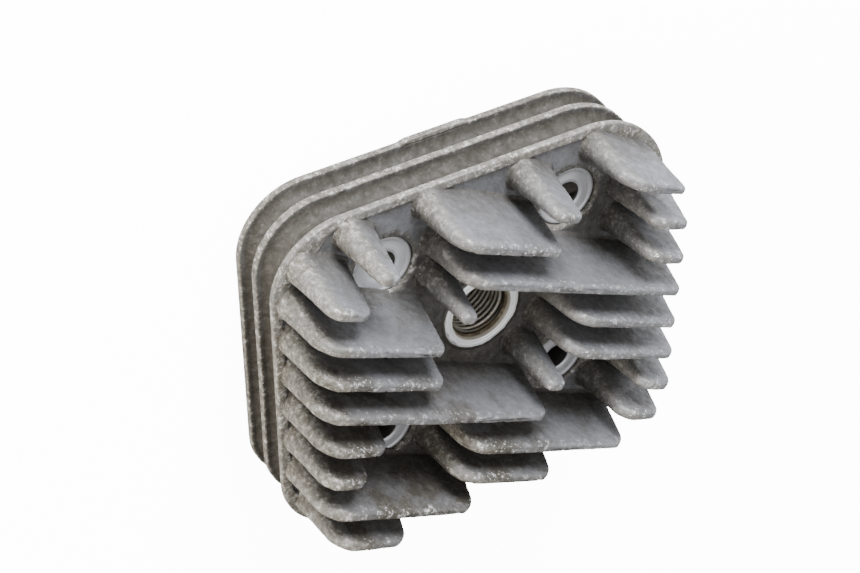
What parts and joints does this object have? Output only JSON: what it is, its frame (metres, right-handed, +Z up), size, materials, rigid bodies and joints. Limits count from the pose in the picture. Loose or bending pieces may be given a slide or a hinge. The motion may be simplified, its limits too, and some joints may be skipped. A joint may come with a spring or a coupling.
{
  "type": "cylinder head",
  "caption": "Air-cooled two-stroke cylinder head: stacked round-cornered plates, diagonal cooling fins, stud holes and a threaded spark plug hole over a shallow combustion dome.",
  "frame": {"origin": "bore axis (centre of the four stud holes) on the gasket face", "axes": "+Z up along the spark plug hole, towards the fins' tips; +X along the long side of the plates; +Y along the short side, towards the end of the plates where the rows of fins start"},
  "size_m": [0.0985, 0.0848, 0.0365],
  "materials": {
    "cast_aluminium": "die-cast, weathered to a warm grey, with oily grime in the fin roots and pale corrosion and chips along the edges",
    "machined_aluminium": "bright turned seats and holes"
  },
  "bodies": {
    "root": {"combustion_dome": "cast_aluminium", "core_block": "cast_aluminium", "deck_plate": "cast_aluminium", "fin_10_left": "cast_aluminium", "fin_10_right": "cast_aluminium", "fin_11_left": "cast_aluminium", "fin_12_left": "cast_aluminium", "fin_1_right": "cast_aluminium", "fin_2_middle": "cast_aluminium", "fin_2_right": "cast_aluminium", "fin_3_left": "cast_aluminium", "fin_3_right": "cast_aluminium", "fin_4_left": "cast_aluminium", "fin_4_right": "cast_aluminium", "fin_5_left": "cast_aluminium", "fin_5_middle": "cast_aluminium", "fin_5_right": "cast_aluminium", "fin_6_left": "cast_aluminium", "fin_6_right": "cast_aluminium", "fin_7_left": "cast_aluminium", "fin_7_middle": "cast_aluminium", "fin_7_right": "cast_aluminium", "fin_8_left": "cast_aluminium", "fin_8_right": "cast_aluminium", "fin_9_left": "cast_aluminium", "fin_9_right": "cast_aluminium", "gasket_flange": "cast_aluminium", "middle_flange": "cast_aluminium", "plug_boss": "machined_aluminium", "stud_boss_back_left": "machined_aluminium", "stud_boss_back_right": "machined_aluminium", "stud_boss_front_left": "machined_aluminium", "stud_boss_front_right": "machined_aluminium"}
  },
  "joints": []
}
